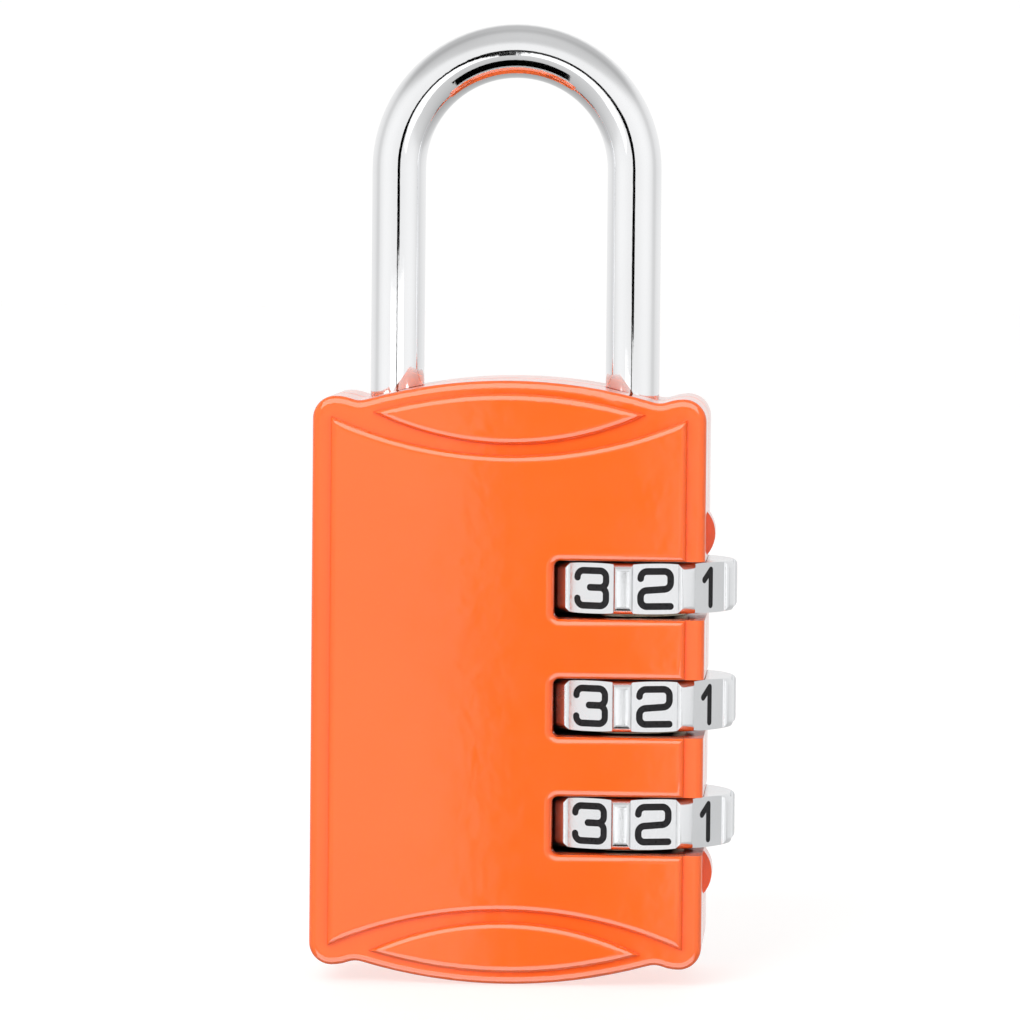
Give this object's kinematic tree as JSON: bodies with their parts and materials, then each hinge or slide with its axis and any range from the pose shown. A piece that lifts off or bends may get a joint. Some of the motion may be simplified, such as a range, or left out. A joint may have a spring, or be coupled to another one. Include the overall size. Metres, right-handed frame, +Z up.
{
  "type": "combination padlock",
  "caption": "Luggage combination padlock: raised-panel two-shell case, number dials in side windows, and a tall round-wire shackle that lifts.",
  "frame": {"origin": "inner top of the shackle, on its centre plane, where a zip pull bears", "axes": "+Z up out of the shackle, -Y out of the front face, +X towards the dials"},
  "size_m": [0.0234, 0.0124, 0.0531],
  "materials": {
    "case_lacquer": "glossy orange lacquer over die-cast zinc",
    "shackle_chrome": "bright chrome plate on steel wire",
    "dial_chrome": "satin chrome plate on die-cast zinc",
    "numeral_paint": "black paint in cut numerals",
    "sleeve_brass": "plain turned brass",
    "spring_steel": "drawn spring steel",
    "pin_steel": "plain steel"
  },
  "bodies": {
    "case": {"front_shell": "case_lacquer", "rear_shell": "case_lacquer", "case_pins": "pin_steel", "shackle_spring": "spring_steel", "upper_sleeve_spring": "spring_steel", "middle_sleeve_spring": "spring_steel", "lower_sleeve_spring": "spring_steel", "upper_detent_leaf": "spring_steel", "middle_detent_leaf": "spring_steel", "lower_detent_leaf": "spring_steel"},
    "shackle_body": {"shackle": "shackle_chrome", "locking_studs": "pin_steel"},
    "upper_dial": {"upper_number_dial": "dial_chrome", "upper_dial_numerals": "numeral_paint"},
    "middle_dial": {"middle_number_dial": "dial_chrome", "middle_dial_numerals": "numeral_paint"},
    "lower_dial": {"lower_number_dial": "dial_chrome", "lower_dial_numerals": "numeral_paint"},
    "upper_sleeve": {"upper_code_sleeve": "sleeve_brass"},
    "middle_sleeve": {"middle_code_sleeve": "sleeve_brass"},
    "lower_sleeve": {"lower_code_sleeve": "sleeve_brass"}
  },
  "joints": [
    {"name": "shackle_lift", "type": "slide", "parent": "case", "child": "shackle_body", "axis": [0, 0, 1], "range_m": [0, 0.0052], "deforming": ["shackle_spring"]},
    {"name": "upper_dial_turn", "type": "hinge", "parent": "case", "child": "upper_dial", "pos_m": [0.00657, 0, -0.02807], "axis": [0, 0, 1], "continuous": true, "deforming": ["upper_detent_leaf"]},
    {"name": "middle_dial_turn", "type": "hinge", "parent": "case", "child": "middle_dial", "pos_m": [0.00657, 0, -0.03458], "axis": [0, 0, 1], "continuous": true, "deforming": ["middle_detent_leaf"]},
    {"name": "lower_dial_turn", "type": "hinge", "parent": "case", "child": "lower_dial", "pos_m": [0.00657, 0, -0.04108], "axis": [0, 0, 1], "continuous": true, "deforming": ["lower_detent_leaf"]},
    {"name": "upper_sleeve_shift", "type": "slide", "parent": "upper_dial", "child": "upper_sleeve", "axis": [0, 0, -1], "range_m": [0, 0.0009], "deforming": ["upper_sleeve_spring"]},
    {"name": "middle_sleeve_shift", "type": "slide", "parent": "middle_dial", "child": "middle_sleeve", "axis": [0, 0, -1], "range_m": [0, 0.0009], "deforming": ["middle_sleeve_spring"]},
    {"name": "lower_sleeve_shift", "type": "slide", "parent": "lower_dial", "child": "lower_sleeve", "axis": [0, 0, -1], "range_m": [0, 0.0009], "deforming": ["lower_sleeve_spring"]}
  ],
  "couplings": [
    {"joint": "middle_sleeve_shift", "follows": "upper_sleeve_shift", "ratio": 1},
    {"joint": "lower_sleeve_shift", "follows": "upper_sleeve_shift", "ratio": 1}
  ]
}
